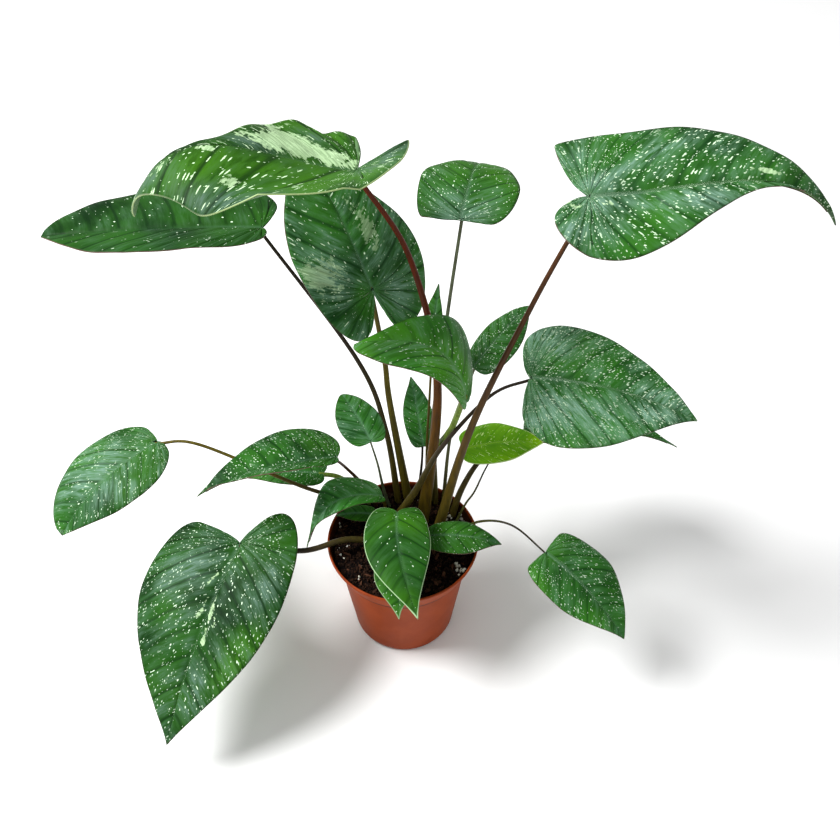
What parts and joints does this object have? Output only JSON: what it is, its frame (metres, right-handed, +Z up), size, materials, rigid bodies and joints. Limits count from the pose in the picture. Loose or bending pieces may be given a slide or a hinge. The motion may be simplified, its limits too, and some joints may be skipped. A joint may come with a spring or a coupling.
{
  "type": "potted stardust homalomena",
  "caption": "Potted aroid house plant: heart-shaped speckled leaves on long stalks that rise from soil in a tapered nursery pot.",
  "frame": {"origin": "centre of the pot's base, on the underside of its flat middle", "axes": "+Z up along the pot's axis, +X to the right and -Y towards the viewer of the picture"},
  "size_m": [0.5298, 0.2627, 0.4484],
  "materials": {
    "leaf": "satin",
    "lime_leaf": "satin",
    "stalk": "satin",
    "green_stalk": "satin",
    "pot": "matte",
    "soil": "matte"
  },
  "bodies": {
    "root": {"leaf_a_blade": "leaf", "leaf_a_stalk": "stalk", "leaf_b_blade": "leaf", "leaf_b_stalk": "stalk", "leaf_c_blade": "leaf", "leaf_c_stalk": "stalk", "leaf_d_blade": "leaf", "leaf_d_stalk": "stalk", "leaf_e_blade": "leaf", "leaf_e_stalk": "stalk", "leaf_f_blade": "leaf", "leaf_f_stalk": "stalk", "leaf_g_blade": "leaf", "leaf_g_stalk": "stalk", "leaf_h_blade": "leaf", "leaf_h_stalk": "green_stalk", "leaf_i_blade": "leaf", "leaf_i_stalk": "stalk", "leaf_j_blade": "leaf", "leaf_j_stalk": "stalk", "leaf_k_blade": "leaf", "leaf_k_stalk": "stalk", "leaf_l_blade": "leaf", "leaf_l_stalk": "stalk", "leaf_m_blade": "leaf", "leaf_m_stalk": "green_stalk", "leaf_n_blade": "leaf", "leaf_n_stalk": "stalk", "leaf_o_blade": "leaf", "leaf_o_stalk": "stalk", "leaf_p_blade": "leaf", "leaf_p_stalk": "stalk", "leaf_q_blade": "lime_leaf", "leaf_q_stalk": "green_stalk", "leaf_r_blade": "leaf", "leaf_r_stalk": "stalk", "leaf_s_blade": "leaf", "leaf_s_stalk": "stalk", "leaf_t_blade": "leaf", "leaf_t_stalk": "stalk", "leaf_u_blade": "leaf", "leaf_u_stalk": "stalk", "leaf_v_blade": "leaf", "leaf_v_stalk": "stalk", "leaf_w_blade": "leaf", "leaf_w_stalk": "stalk", "leaf_x_blade": "leaf", "leaf_x_stalk": "stalk", "pot": "pot", "soil": "soil"}
  },
  "joints": []
}
